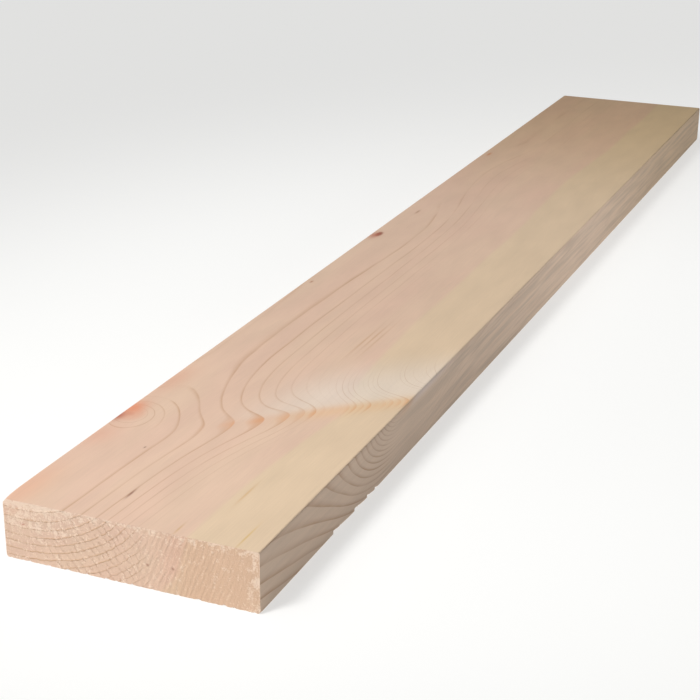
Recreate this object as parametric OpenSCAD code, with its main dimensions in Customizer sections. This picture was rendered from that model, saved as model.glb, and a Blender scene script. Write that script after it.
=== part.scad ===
// Timber plank: one straight length of planed softwood, laid flat on a wide face.
//
// X runs across the wide faces, Y along the grain and Z through the thickness.
// The origin is the centre of the bottom face, and the near end is at -Y.
// The section is a rectangle with its four long arrises eased to a quarter round.
// The two ends are sawn square and left sharp.
// The lower +X arris carries a short row of torn steps, where the grain swells
// round a branch and the planer lifted it.

/* [Section] */
// Width of the wide faces, in mm.
width = 195; // [60:1:300]
// Thickness between the wide faces, in mm.
thickness = 45; // [20:1:100]
// Radius of the quarter round on each long arris, in mm.
arris_r = 1.5; // [1:0.5:8]

/* [Length] */
// Length along the grain, from end cut to end cut, in mm.
length = 1400; // [600:10:6000]

/* [Torn arris] */
// Number of torn steps in the lower +X arris.
tear_count = 4; // [1:1:6]
// Distance from the near end to the first step, in mm.
tear_start = 119; // [20:1:250]
// Length of the first step along the grain, in mm.
tear_length = 37; // [10:1:50]
// Depth of each step below the quarter round, in mm.
tear_depth = 2.2; // [0.5:0.1:3]
// Length of each step as a part of the one before it.
tear_fade = 0.6; // [0.5:0.05:0.95]

/* [Hidden] */
$fn = 96;

// Gap left between one step and the next, along the grain.
tear_gap = 2;
// Slack that carries a cutter clear of the faces it opens through.
clear = 1;

// How far the quarter round lies inside the sharp corner, on the diagonal.
arris_inset = arris_r * (sqrt(2) - 1);
// Half the size of the flat parts of the section.
flat_x = width / 2 - arris_r;
flat_z = thickness / 2 - arris_r;

pine = [0.87, 0.76, 0.63];

// Rectangle with quarter round corners, centred.
module section() {
  square([width, 2 * flat_z], center = true);
  square([2 * flat_x, thickness], center = true);
  for (x = [-flat_x, flat_x], z = [-flat_z, flat_z]) {
    translate([x, z]) circle(r = arris_r);
  }
}

// The plain length of stock, lying on its wide face.
module stock() {
  translate([0, length / 2, thickness / 2])
    rotate([90, 0, 0]) linear_extrude(height = length) section();
}

// Radius of an arc that drops by depth over a run along its tangent.
function ramp_radius(run, depth) = (run * run + depth * depth) / (2 * depth);

// Distance from the first step to step i: the lengths before it fade one by one.
function tear_offset(i) = i == 0 ? 0 : tear_offset(i - 1) + tear_gap + tear_length * pow(tear_fade, i - 1);

// One torn step: sudden at its near side, then an arc that runs out along the arris.
// It is drawn at the origin for an arris along +Y whose outward normal is +X.
module tear(run, depth) {
  radius = ramp_radius(run, depth);
  reach = thickness / 2;
  intersection() {
    translate([radius - depth, 0, 0]) cylinder(r = radius, h = reach, center = true);
    translate([-depth - clear, 0, -reach / 2 - clear])
      cube([2 * depth + arris_r + clear, run + clear, reach + 2 * clear]);
  }
}

// The row of steps, set on the diagonal of the lower +X arris.
module torn_arris() {
  for (i = [0:tear_count - 1]) {
    translate([width / 2, tear_start - length / 2 + tear_offset(i), 0])
      rotate([0, 45, 0]) translate([-arris_inset, 0, 0])
        tear(tear_length * pow(tear_fade, i), tear_depth);
  }
}

// One piece of solid timber.
module plank() {
  color(pine) difference() {
    stock();
    torn_arris();
  }
}

plank();
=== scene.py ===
"""Looks for a timber plank: one straight length of planed softwood lying on a wide face.

The plank is one piece of stock, so it is one mesh. Its shape comes from a Geometry Nodes tree that
eases the arrises, tears one of them, saws the ends and leaves splinters on the near end's lower
edge. Its wood is solid: one growth field fills the whole block, and every face is a cut through it.
"""

import logging
import math
from dataclasses import dataclass, field
from enum import Enum

import bpy
import numpy as np
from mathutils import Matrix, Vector


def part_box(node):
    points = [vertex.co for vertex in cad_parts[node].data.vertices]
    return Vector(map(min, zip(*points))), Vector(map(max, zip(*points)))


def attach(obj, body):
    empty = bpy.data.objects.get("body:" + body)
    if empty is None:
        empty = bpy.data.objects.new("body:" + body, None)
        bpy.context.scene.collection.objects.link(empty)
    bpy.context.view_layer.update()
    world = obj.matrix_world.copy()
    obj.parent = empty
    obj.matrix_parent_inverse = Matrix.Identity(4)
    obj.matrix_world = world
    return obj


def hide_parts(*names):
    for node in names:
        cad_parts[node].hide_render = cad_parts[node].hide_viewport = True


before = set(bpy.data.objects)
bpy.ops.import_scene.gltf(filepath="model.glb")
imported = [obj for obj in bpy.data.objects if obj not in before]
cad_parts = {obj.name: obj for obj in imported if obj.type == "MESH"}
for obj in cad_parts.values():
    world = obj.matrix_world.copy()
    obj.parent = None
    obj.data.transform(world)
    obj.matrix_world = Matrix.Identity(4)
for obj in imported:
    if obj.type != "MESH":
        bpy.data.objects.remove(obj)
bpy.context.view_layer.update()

log = logging.getLogger("plank")

MM = 0.001
MATH = "ShaderNodeMath"
VECTOR_MATH = "ShaderNodeVectorMath"
RANGE = "ShaderNodeMapRange"
MIX = "ShaderNodeMix"
NOISE = "ShaderNodeTexNoise"


def linear(code: str) -> tuple[float, float, float, float]:
    """Turns an sRGB hex colour into the linear values that shaders work in.

    Args:
        code: The colour as "#RRGGBB".

    Returns:
        Red, green, blue and an alpha of 1.
    """
    shares = [int(code[i : i + 2], 16) / 255 for i in (1, 3, 5)]
    red, green, blue = (s / 12.92 if s <= 0.04045 else ((s + 0.055) / 1.055) ** 2.4 for s in shares)
    return red, green, blue, 1.0


def add(tree: bpy.types.NodeTree, kind: str, feeds=(), **settings) -> bpy.types.Node:
    """Adds one node with its settings and links.

    Args:
        tree: The tree that gets the node.
        kind: The node's type name.
        feeds: What goes into its sockets, in order, or by number or name where it is a dict. A node
            stands for its first live output, a socket is linked, and anything else is a value.
        settings: The node's own properties.

    Returns:
        The new node.
    """
    node = tree.nodes.new(kind)
    for name, value in settings.items():
        setattr(node, name, value)
    pairs = feeds.items() if isinstance(feeds, dict) else enumerate(feeds)
    for key, value in pairs:
        if isinstance(value, bpy.types.Node):
            value = next(o for o in value.outputs if o.enabled)
        if isinstance(value, bpy.types.NodeSocket):
            tree.links.new(value, node.inputs[key])
        elif value is not None:
            node.inputs[key].default_value = value
    return node


class Cut(Enum):
    """How a face of the plank was made."""

    PLANED = "planed pine"
    SAWN = "sawn pine end grain"


@dataclass(frozen=True)
class Branch:
    """A branch that grew through the stem, in mm from the near left lower corner.

    centre is where its middle crosses the upper face, heading its direction, radius its own size
    and stretch how many times longer than wide it is cut. pull is how far it dragged the rings
    after it, and reach how far off that dies away. Within core of its middle line the distance
    levels out, so the rings turn round it without a point.
    """

    centre: tuple[float, float, float]
    heading: tuple[float, float, float]
    radius: float
    stretch: float
    pull: float
    reach: float
    core: float = 2.0

    def distance(self, tree: bpy.types.NodeTree, place: bpy.types.NodeSocket) -> bpy.types.Node:
        """Adds the nodes that measure how far a place is from the branch's middle line.

        Args:
            tree: The growth tree.
            place: The place in mm.

        Returns:
            The node that gives the distance in mm.
        """
        apart = add(tree, VECTOR_MATH, (place, self.centre), operation="SUBTRACT")
        eased = add(tree, VECTOR_MATH, (apart, (1, 1 / self.stretch, 1)), operation="MULTIPLY")
        size = math.hypot(*self.heading)
        unit = tuple(h / size for h in self.heading)
        across = add(tree, VECTOR_MATH, (eased, unit), operation="CROSS_PRODUCT")
        squared = add(tree, VECTOR_MATH, (across, across), operation="DOT_PRODUCT")
        soft = add(tree, MATH, (squared.outputs["Value"], self.core**2), operation="ADD")
        return add(tree, MATH, (soft,), operation="SQRT")


@dataclass(frozen=True)
class StemGrowth:
    """How the tree grew round this plank, in mm from the near left lower corner.

    The rings are sleeves round a pith above the plank, which leans as it goes. Two branches pull
    them aside, and a crease, where the stem closed over a branch outside the plank, throws them
    into steep hooks. The rings get closer together outwards.
    """

    pith_x: float = 17.7
    pith_z: float = 110.0
    lean_x: float = 2.0
    lean_z: float = 17.4
    lean_from: float = 22.0
    lean_to: float = 312.0
    sway: float = 10.5
    sway_lift: float = 4.2
    sway_rise: tuple[float, float] = (702.0, 930.0)
    sway_fall: tuple[float, float] = (940.0, 1120.0)
    flare: float = 1.02
    flare_from: float = 128.7
    flare_blend: float = 30.0
    wander: float = 0.9
    wander_size: tuple[float, float, float] = (30.0, 120.0, 30.0)
    upper_face: float = 45.0
    knot: Branch = Branch((7.65, 160.1, 45.0), (-0.12, 0.563, -1.0), 11.0, 1.0, 53.8, 15.2)
    pin_knot: Branch = Branch((8.0, 669.0, 45.0), (0.0, 0.5, -1.0), 4.0, 2.2, 8.0, 38.0)
    crease_x: float = 92.0
    crease_y: float = 177.4
    crease_slope: float = 0.871
    crease_dip: float = 1.0
    crease_height: tuple[float, float, float] = (32.4, 0.714, 0.005)
    crease_near: float = 47.5
    crease_far: float = 29.7
    crease_z: float = 84.3
    crease_depth: float = 48.6
    crease_blend: float = 6.0
    sap_fold: float = 0.45
    first_ring: float = 70.1
    spacing: tuple[float, float, float] = (6.9, 5.6, 4.6)
    spacing_from: tuple[float, float] = (84.0, 125.0)
    spacing_blend: tuple[float, float] = (8.0, 20.0)
    first_year: float = 20.0

    def build(self) -> bpy.types.NodeTree:
        """Builds the field as a node group, so both finishes cut the same wood.

        Returns:
            The group: Place in; Sap, Ring, Past crease, Knot and Pin knot out, in mm but for
            Ring, which counts years.
        """
        tree = bpy.data.node_groups.new("stem growth", "ShaderNodeTree")
        tree.interface.new_socket("Place", in_out="INPUT", socket_type="NodeSocketVector")
        for name in ("Sap", "Ring", "Past crease", "Knot", "Pin knot"):
            tree.interface.new_socket(name, in_out="OUTPUT", socket_type="NodeSocketFloat")
        place = add(tree, "NodeGroupInput").outputs["Place"]
        x, y, z = add(tree, "ShaderNodeSeparateXYZ", (place,)).outputs

        sleeve = self._sleeve(tree, x, y, z)
        shares = tuple(1 / mm for mm in self.wander_size)
        scaled = add(tree, VECTOR_MATH, (place, shares), operation="MULTIPLY")
        wave = add(tree, NOISE, {"Vector": scaled, "Scale": 1.0, "Detail": 2.0})
        centred = add(tree, MATH, (wave, 2 * self.wander, -self.wander), operation="MULTIPLY_ADD")
        growth = add(tree, MATH, (sleeve, centred), operation="ADD")
        distances = []
        for branch in (self.knot, self.pin_knot):
            distance = branch.distance(tree, place)
            distances.append(distance)
            share = add(tree, MATH, (distance, -1 / branch.reach), operation="MULTIPLY")
            fade = add(tree, MATH, (share,), operation="EXPONENT")
            growth = add(tree, MATH, (fade, -branch.pull, growth), operation="MULTIPLY_ADD")
        height, share, past = self._crease(tree, x, y, z)
        fold = add(tree, MATH, (height, share), operation="MULTIPLY")
        folded = add(tree, MATH, (growth, fold), operation="SUBTRACT")
        sap = add(tree, MATH, (fold, self.sap_fold, folded), operation="MULTIPLY_ADD")
        ring = self._ring(tree, folded)
        add(tree, "NodeGroupOutput", (sap, ring, past, *distances))
        return tree

    def _sleeve(self, tree: bpy.types.NodeTree, x, y, z) -> bpy.types.Node:
        """Adds the distance from the leaning pith, flared towards the right edge.

        Args:
            tree: The growth tree.
            x: Across the plank.
            y: Along it.
            z: Up through it.

        Returns:
            The node that gives the distance in mm.
        """
        smooth = {"interpolation_type": "SMOOTHSTEP"}
        lean = add(tree, RANGE, (y, self.lean_from, self.lean_to, 0.0, 1.0), **smooth)
        rise = add(tree, RANGE, (y, *self.sway_rise, 0.0, 1.0), **smooth)
        fall = add(tree, RANGE, (y, *self.sway_fall, 0.0, 1.0), **smooth)
        bow = add(tree, MATH, (rise, fall), operation="SUBTRACT")
        leant = add(tree, MATH, (lean, self.lean_x, self.pith_x), operation="MULTIPLY_ADD")
        pith_x = add(tree, MATH, (bow, -self.sway, leant), operation="MULTIPLY_ADD")
        leant_z = add(tree, MATH, (lean, self.lean_z, self.pith_z), operation="MULTIPLY_ADD")
        pith_z = add(tree, MATH, (bow, self.sway_lift, leant_z), operation="MULTIPLY_ADD")
        off_x = add(tree, MATH, (x, pith_x), operation="SUBTRACT")
        off_z = add(tree, MATH, (z, pith_z), operation="SUBTRACT")
        off = add(tree, "ShaderNodeCombineXYZ", (off_x, 0.0, off_z))
        radius = add(tree, VECTOR_MATH, (off,), operation="LENGTH").outputs["Value"]
        past = add(tree, MATH, (x, self.flare_from), operation="SUBTRACT")
        flare = add(tree, MATH, (past, 0.0, self.flare_blend), operation="SMOOTH_MAX")
        return add(tree, MATH, (flare, self.flare, radius), operation="MULTIPLY_ADD")

    def _crease(self, tree: bpy.types.NodeTree, x, y, z) -> tuple[bpy.types.Node, ...]:
        """Adds the fold that a branch outside the plank left in the rings.

        Args:
            tree: The growth tree.
            x: Across the plank.
            y: Along it.
            z: Up through it.

        Returns:
            The nodes that give the fold's height in mm, its share there, and how far past it the
            place lies along the grain, in mm.
        """
        lift, slope, curve = self.crease_height
        aside = add(tree, MATH, (x, self.crease_x), operation="SUBTRACT")
        bent = add(tree, MATH, (aside, curve, slope), operation="MULTIPLY_ADD")
        tall = add(tree, MATH, (bent, aside, lift), operation="MULTIPLY_ADD")
        height = add(tree, MATH, (tall, 0.0, self.crease_blend), operation="SMOOTH_MAX")
        skew = add(tree, MATH, (aside, self.crease_slope, self.crease_y), operation="MULTIPLY_ADD")
        down = add(tree, MATH, (z, self.upper_face), operation="SUBTRACT")
        line = add(tree, MATH, (down, self.crease_dip, skew), operation="MULTIPLY_ADD")
        along = add(tree, MATH, (y, line), operation="SUBTRACT")
        square_on = math.hypot(1.0, self.crease_slope)
        ahead = add(tree, MATH, (along, 0.0), operation="MAXIMUM")
        behind = add(tree, MATH, (along, 0.0), operation="MINIMUM")
        far = add(tree, MATH, (ahead, 1 / square_on / self.crease_far), operation="MULTIPLY")
        near = add(tree, MATH, (behind, 1 / square_on / self.crease_near), operation="MULTIPLY")
        up = add(tree, MATH, (z, self.crease_z), operation="SUBTRACT")
        deep = add(tree, MATH, (up, 1 / self.crease_depth), operation="MULTIPLY")
        spread = add(tree, "ShaderNodeCombineXYZ", (far, near, deep))
        squared = add(tree, VECTOR_MATH, (spread, spread), operation="DOT_PRODUCT")
        widened = add(tree, MATH, (squared.outputs["Value"], 1.0), operation="ADD")
        share = add(tree, MATH, (1.0, widened), operation="DIVIDE")
        return height, share, along

    def _ring(self, tree: bpy.types.NodeTree, growth: bpy.types.Node) -> bpy.types.Node:
        """Adds the count of years, which rises faster where the rings are closer.

        Args:
            tree: The growth tree.
            growth: The distance grown, in mm.

        Returns:
            The node that gives the year, whole at the end of each ring.
        """
        wide, middle, tight = self.spacing
        offset = self.first_year - self.first_ring / wide
        ring = add(tree, MATH, (growth, 1 / wide, offset), operation="MULTIPLY_ADD")
        rates = (1 / middle - 1 / wide, 1 / tight - 1 / middle)
        for start, blend, rate in zip(self.spacing_from, self.spacing_blend, rates):
            past = add(tree, MATH, (growth, start), operation="SUBTRACT")
            soft = add(tree, MATH, (past, 0.0, blend), operation="SMOOTH_MAX")
            ring = add(tree, MATH, (soft, rate, ring), operation="MULTIPLY_ADD")
        return ring


@dataclass(frozen=True)
class Streak:
    """A mark that runs with the grain, such as a resin streak, a speck or a stain, in mm."""

    centre: tuple[float, float, float]
    half_size: tuple[float, float, float]
    colour: str
    strength: float

    def stain(self, tree: bpy.types.NodeTree, place, colour: bpy.types.Node) -> bpy.types.Node:
        """Adds the nodes that lay the mark over a colour.

        Args:
            tree: The wood tree.
            place: The place in mm.
            colour: The node that gives the colour so far.

        Returns:
            The node that gives the marked colour.
        """
        apart = add(tree, VECTOR_MATH, (place, self.centre), operation="SUBTRACT")
        shares = tuple(1 / h for h in self.half_size)
        spread = add(tree, VECTOR_MATH, (apart, shares), operation="MULTIPLY")
        squared = add(tree, VECTOR_MATH, (spread, spread), operation="DOT_PRODUCT")
        fall = add(tree, MATH, (squared.outputs["Value"], -1.0), operation="MULTIPLY")
        bell = add(tree, MATH, (fall,), operation="EXPONENT")
        share = add(tree, MATH, (bell, self.strength), operation="MULTIPLY")
        return add(tree, MIX, {0: share, 6: colour, 7: linear(self.colour)}, data_type="RGBA")


@dataclass(frozen=True)
class PineWood:
    """Softwood of the pine family, dry and unfinished: its colours before any tool touched it.

    Pinkish heartwood, yellower sapwood, and a narrow brown line of dense latewood that ends each
    year sharply. Hooked rings in the crease are cut flat, so their latewood shows wide and orange.
    Behind the crease, where the fibres stand up, a painted sheen lightens the colour to a silvery
    grey.

    Sizes are in mm. The sap's are distances grown; the painted far shade's, gaps and faint are places
    along the grain, and the sheen's near and far are how far past the crease; across is over the
    width, and skin is a height. Each pair is where an effect starts and where it is full. Years are
    counts of
    Ring. Towards the far end a painted shade darkens and warms the colour.
    """

    growth: StemGrowth
    heart_pink: str = "#DCBBA5"
    heart_cream: str = "#DCBEA6"
    sap: str = "#DCC3A5"
    # The colour of the painted sheen behind the crease.
    painted_sheen: str = "#E3D5C6"
    warm: str = "#E2BC92"
    latewood: str = "#B0845A"
    hook: str = "#D4925E"
    knot_wood: str = "#DC9777"
    knot_core: str = "#B96C52"
    pin_knot_wood: str = "#8A4A36"
    # Painted shade that darkens and warms the colour towards the far end, and where it starts and is
    # full.
    painted_far_shade: tuple[float, float, float, float] = (0.97, 0.93, 0.79, 1.0)
    painted_shade_from: float = 750.0
    painted_shade_to: float = 1300.0
    sap_from: float = 148.0
    sap_to: float = 158.0
    sap_wander: float = 6.0
    sheen_near: tuple[float, float] = (0.0, 20.0)
    sheen_far: tuple[float, float] = (140.0, 40.0)
    sheen_across: tuple[float, float] = (66.0, 135.0)
    painted_sheen_share: float = 0.7
    skin: tuple[float, float] = (36.0, 44.0)
    hook_middle: float = 1.0
    hook_reach: float = 14.0
    hook_across: tuple[float, float] = (64.0, 84.0)
    warm_across: tuple[float, float] = (95.0, 150.0)
    warm_share: float = 0.55
    grazed_x: float = 14.0
    grazed: tuple[float, float, float] = (18.0, 6.0, 0.85)
    tint_size: tuple[float, float, float] = (34.0, 170.0, 34.0)
    mottle_size: tuple[float, float, float] = (20.0, 62.0, 20.0)
    mottle: tuple[float, float] = (0.965, 1.03)
    season_peak: float = 0.96
    season_end: float = 0.95
    weak_years: tuple[float, float] = (23.0, 25.0)
    fading_years: tuple[float, float] = (23.2, 27.5)
    lined_years: tuple[float, float] = (19.2, 19.6)
    patch_size: tuple[float, float, float] = (12.0, 70.0, 12.0)
    gaps_from: tuple[float, float] = (520.0, 760.0)
    faint_from: tuple[float, float] = (780.0, 930.0)
    streaks: tuple[Streak, ...] = (
        Streak((77.0, 41.0, 45.0), (0.9, 7.0, 4.0), "#7A4A3A", 0.8),
        Streak((48.0, 111.0, 45.0), (0.7, 1.6, 2.0), "#6E4A3C", 0.7),
        Streak((6.5, 501.0, 45.0), (1.2, 3.0, 3.0), "#A0603C", 0.7),
        Streak((5.0, 664.0, 45.0), (5.0, 11.0, 20.0), "#B9705A", 0.75),
        Streak((16.0, 762.0, 45.0), (1.4, 7.0, 3.0), "#9C7050", 0.6),
        Streak((8.0, 1034.0, 45.0), (1.8, 7.0, 4.0), "#C47840", 0.7),
        Streak((150.0, 73.0, 45.0), (1.0, 16.0, 3.0), "#C69A5C", 0.5),
        Streak((178.0, 17.0, 45.0), (0.8, 16.0, 3.0), "#CBA23C", 0.5),
        Streak((132.0, 9.0, 45.0), (0.8, 8.0, 3.0), "#C49A58", 0.5),
        Streak((112.0, 375.0, 45.0), (1.0, 34.0, 3.0), "#BC8A5C", 0.45),
        Streak((117.0, 388.0, 45.0), (0.9, 30.0, 3.0), "#BC8A5C", 0.5),
        Streak((122.0, 382.0, 45.0), (0.8, 36.0, 3.0), "#C09060", 0.4),
        Streak((15.0, 0.0, 28.0), (1.6, 4.0, 1.0), "#B8705C", 0.8),
        Streak((112.0, 0.0, 18.0), (0.9, 3.0, 0.9), "#8A5040", 0.8),
        Streak((131.0, 0.0, 19.0), (1.0, 3.0, 0.9), "#6E4638", 0.8),
        Streak((10.0, 0.0, 41.0), (1.2, 3.0, 0.9), "#A05A4C", 0.7),
        Streak((3.0, 172.0, 46.0), (9.0, 13.0, 13.0), "#E08E6A", 0.85),
        Streak((0.0, 153.0, 46.0), (5.5, 9.0, 8.0), "#AE5A44", 0.85),
        Streak((6.0, 20.0, 47.0), (14.0, 40.0, 14.0), "#E2A582", 0.4),
        Streak((4.0, 118.0, 45.0), (14.0, 20.0, 12.0), "#D99A80", 0.35),
        Streak((4.0, 235.0, 45.0), (12.0, 30.0, 12.0), "#DCA285", 0.4),
    )

    def build(self) -> bpy.types.NodeTree:
        """Builds the wood as a node group.

        Returns:
            The group: Place in mm, Least line, the weakest that a ring may show, and Wide line,
            how far its latewood spreads, in; Colour and Latewood out.
        """
        tree = bpy.data.node_groups.new("pine wood", "ShaderNodeTree")
        tree.interface.new_socket("Place", in_out="INPUT", socket_type="NodeSocketVector")
        for name in ("Least line", "Wide line"):
            tree.interface.new_socket(name, in_out="INPUT", socket_type="NodeSocketFloat")
        tree.interface.new_socket("Colour", in_out="OUTPUT", socket_type="NodeSocketColor")
        tree.interface.new_socket("Latewood", in_out="OUTPUT", socket_type="NodeSocketFloat")
        given = add(tree, "NodeGroupInput").outputs
        place = given["Place"]
        stem = add(tree, "ShaderNodeGroup", node_tree=self.growth.build())
        tree.links.new(place, stem.inputs["Place"])
        smooth = {"interpolation_type": "SMOOTHSTEP"}
        x, y, z = add(tree, "ShaderNodeSeparateXYZ", (place,)).outputs
        past = stem.outputs["Past crease"]

        # The zone behind the crease where the fibres stand up and a sheen is painted into the colour.
        behind = add(tree, RANGE, (past, *self.sheen_near, 0.0, 1.0), **smooth)
        before = add(tree, RANGE, (past, *self.sheen_far, 0.0, 1.0), **smooth)
        rightward = add(tree, RANGE, (x, *self.sheen_across, 0.0, 1.0), **smooth)
        banded = add(tree, MATH, (behind, before), operation="MULTIPLY")
        upper = add(tree, RANGE, (z, *self.skin, 0.0, 1.0), **smooth)
        top_band = add(tree, MATH, (banded, upper), operation="MULTIPLY")
        sheen_zone = add(tree, MATH, (top_band, rightward), operation="MULTIPLY")
        off = add(tree, MATH, (past, -self.hook_middle), operation="ADD")
        wide = add(tree, MATH, (off, 1 / self.hook_reach), operation="MULTIPLY")
        squared = add(tree, MATH, (wide, wide), operation="MULTIPLY")
        fall = add(tree, MATH, (squared, -1.0), operation="MULTIPLY")
        bell = add(tree, MATH, (fall,), operation="EXPONENT")
        hooked_from = add(tree, RANGE, (x, *self.hook_across, 0.0, 1.0), **smooth)
        top_bell = add(tree, MATH, (bell, upper), operation="MULTIPLY")
        hooked = add(tree, MATH, (top_bell, hooked_from), operation="MULTIPLY")
        off_pith = add(tree, MATH, (x, -self.grazed_x), operation="ADD")
        beside = add(tree, MATH, (off_pith,), operation="ABSOLUTE")
        outside, inside, most = self.grazed
        grazed = add(tree, RANGE, (beside, outside, inside, 0.0, most), **smooth)
        grazing = add(tree, MATH, (grazed, upper), operation="MULTIPLY")

        body = self._body(tree, place, stem, sheen_zone, hooked, x)
        line = self._latewood(tree, given, stem, sheen_zone, hooked, grazing)
        dense = add(
            tree, MIX, {0: hooked, 6: linear(self.latewood), 7: linear(self.hook)}, data_type="RGBA"
        )
        lined = add(tree, MIX, {0: line, 6: body, 7: dense}, data_type="RGBA")
        # Painted shade: the colour darkens and warms towards the far end.
        far = add(tree, RANGE, (y, self.painted_shade_from, self.painted_shade_to, 0.0, 1.0), **smooth)
        white = (1.0, 1.0, 1.0, 1.0)
        painted_shade_mix = add(tree, MIX, {0: far, 6: white, 7: self.painted_far_shade}, data_type="RGBA")
        painted_shade_tint = next(o for o in painted_shade_mix.outputs if o.enabled)
        colour = add(tree, VECTOR_MATH, (lined, painted_shade_tint), operation="MULTIPLY")

        knot, pin = self.growth.knot, self.growth.pin_knot
        patches = (
            ("Knot", knot.radius * 1.35, knot.radius * 0.55, 0.35, self.knot_wood),
            ("Knot", knot.radius * 0.45, knot.radius * 0.1, 0.3, self.knot_core),
            ("Pin knot", pin.radius * 1.2, pin.radius * 0.6, 0.9, self.pin_knot_wood),
        )
        for name, outer, inner, most, paint in patches:
            share = add(tree, RANGE, (stem.outputs[name], outer, inner, 0.0, most), **smooth)
            colour = add(tree, MIX, {0: share, 6: colour, 7: linear(paint)}, data_type="RGBA")
        for streak in self.streaks:
            colour = streak.stain(tree, place, colour)
        add(tree, "NodeGroupOutput", (colour, line))
        return tree

    def _body(self, tree: bpy.types.NodeTree, place, stem, sheen_zone, hooked, x) -> bpy.types.Node:
        """Adds the colour between the lines: heart, sap, and what the crease did to them.

        Args:
            tree: The wood tree.
            place: The place in mm.
            stem: The growth group's node.
            sheen_zone: The share of upright fibres behind the crease, where a painted sheen lightens
                the colour.
            hooked: The share of hooked rings.
            x: Across the plank.

        Returns:
            The node that gives the colour.
        """
        smooth = {"interpolation_type": "SMOOTHSTEP"}
        drawn = tuple(1 / mm for mm in self.tint_size)
        long = add(tree, VECTOR_MATH, (place, drawn), operation="MULTIPLY")
        tint = add(tree, NOISE, {"Vector": long, "Scale": 1.0, "Detail": 2.0})
        pale = add(tree, RANGE, (tint, 0.3, 0.7, 0.0, 1.0), **smooth)
        heart = add(
            tree,
            MIX,
            {0: pale, 6: linear(self.heart_pink), 7: linear(self.heart_cream)},
            data_type="RGBA",
        )
        clouded = tuple(1 / mm for mm in self.mottle_size)
        short = add(tree, VECTOR_MATH, (place, clouded), operation="MULTIPLY")
        cloud = add(tree, NOISE, {"Vector": short, "Scale": 1.0, "Detail": 3.0})
        mottle = add(tree, RANGE, (cloud, 0.32, 0.68, *self.mottle))
        sway = self.sap_wander
        wander = add(tree, MATH, (tint, 2 * sway, -sway), operation="MULTIPLY_ADD")
        grown = add(tree, MATH, (stem.outputs["Sap"], wander), operation="ADD")
        outer = add(tree, RANGE, (grown, self.sap_from, self.sap_to, 0.0, 1.0), **smooth)
        body = add(tree, MIX, {0: outer, 6: heart, 7: linear(self.sap)}, data_type="RGBA")
        # Painted sheen: behind the crease the colour is lightened towards a silvery grey.
        silvery = add(tree, MATH, (sheen_zone, self.painted_sheen_share), operation="MULTIPLY")
        shone = add(tree, MIX, {0: silvery, 6: body, 7: linear(self.painted_sheen)}, data_type="RGBA")
        rightward = add(tree, RANGE, (x, *self.warm_across, 0.0, self.warm_share), **smooth)
        warmed = add(tree, MATH, (rightward, hooked), operation="MULTIPLY")
        hued = add(tree, MIX, {0: warmed, 6: shone, 7: linear(self.warm)}, data_type="RGBA")
        plain = next(o for o in hued.outputs if o.enabled)
        return add(tree, VECTOR_MATH, (plain, mottle), operation="MULTIPLY")

    def _latewood(
        self, tree: bpy.types.NodeTree, given, stem, sheen_zone, hooked, grazing
    ) -> bpy.types.Node:
        """Adds the share of latewood: a slow rise over the last of the year, and a sharp end.

        Args:
            tree: The wood tree.
            given: The group's inputs.
            stem: The growth group's node.
            sheen_zone: The share of upright fibres behind the crease, where a painted sheen lightens
                the colour.
            hooked: The share of hooked rings.
            grazing: How nearly the upper face runs along a ring there, so that no line shows.

        Returns:
            The node that gives the share, from 0 to 1.
        """
        ring = stem.outputs["Ring"]
        season = add(tree, MATH, (ring,), operation="FRACT")
        spread = add(tree, MATH, (given["Wide line"], -0.3, 0.8), operation="MULTIPLY_ADD")
        start = add(tree, MATH, (hooked, -0.48, spread), operation="MULTIPLY_ADD")
        rise = add(tree, RANGE, (season, start, self.season_peak, 0.0, 1.0))
        bow = add(tree, MATH, (hooked, -0.75, 1.5), operation="MULTIPLY_ADD")
        steep = add(tree, MATH, (rise, bow), operation="POWER")
        drop = add(tree, RANGE, (season, 1.0, self.season_end, 0.0, 1.0))
        line = add(tree, MATH, (steep, drop), operation="MULTIPLY")
        year = add(tree, MATH, (ring,), operation="FLOOR")
        luck = add(tree, "ShaderNodeTexWhiteNoise", {"W": year}, noise_dimensions="1D")
        dense = add(tree, RANGE, (luck.outputs["Value"], 0.0, 1.0, 0.72, 1.0))
        later_ring = add(tree, RANGE, (ring, *self.weak_years, 0.0, 1.0))
        weak = add(tree, RANGE, (luck.outputs["Value"], 0.35, 0.75, 0.12, 1.0))
        varied = add(tree, MIX, {0: later_ring, 2: 1.0, 3: weak})
        fading = add(tree, RANGE, (ring, *self.fading_years, 0.76, 0.1))
        least = add(tree, MATH, (fading, given["Least line"]), operation="MAXIMUM")
        shone = add(tree, MATH, (sheen_zone, 0.8), operation="MULTIPLY")
        upright = add(tree, MATH, (shone, varied), operation="MULTIPLY")
        stood = add(tree, MATH, (least, upright), operation="MAXIMUM")
        some = add(tree, MATH, (hooked, varied), operation="MULTIPLY")
        thick = add(tree, MATH, (some, 0.95), operation="MULTIPLY")
        dominant = add(tree, MATH, (stood, thick), operation="MAXIMUM")
        strong = add(tree, MATH, (dominant, dense), operation="MULTIPLY")
        shares = tuple(1 / mm for mm in self.patch_size)
        patch = add(tree, VECTOR_MATH, (given["Place"], shares), operation="MULTIPLY")
        blotch = add(tree, NOISE, {"Vector": patch, "Scale": 1.0, "Detail": 2.0})
        uneven = add(tree, RANGE, (blotch, 0.35, 0.65, 0.55, 1.0))
        y = add(tree, "ShaderNodeSeparateXYZ", (given["Place"],)).outputs["Y"]
        later_on = add(tree, RANGE, (y, *self.gaps_from, 0.0, 1.0))
        broken = add(tree, RANGE, (blotch, 0.4, 0.6, 0.15, 1.0))
        gaps = add(tree, MIX, {0: later_on, 2: uneven, 3: broken})
        faded = add(tree, MATH, (later_on, -0.3, 1.0), operation="MULTIPLY_ADD")
        last = add(tree, RANGE, (y, *self.faint_from, 1.0, 0.55))
        fainter = add(tree, MATH, (faded, last), operation="MULTIPLY")
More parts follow.
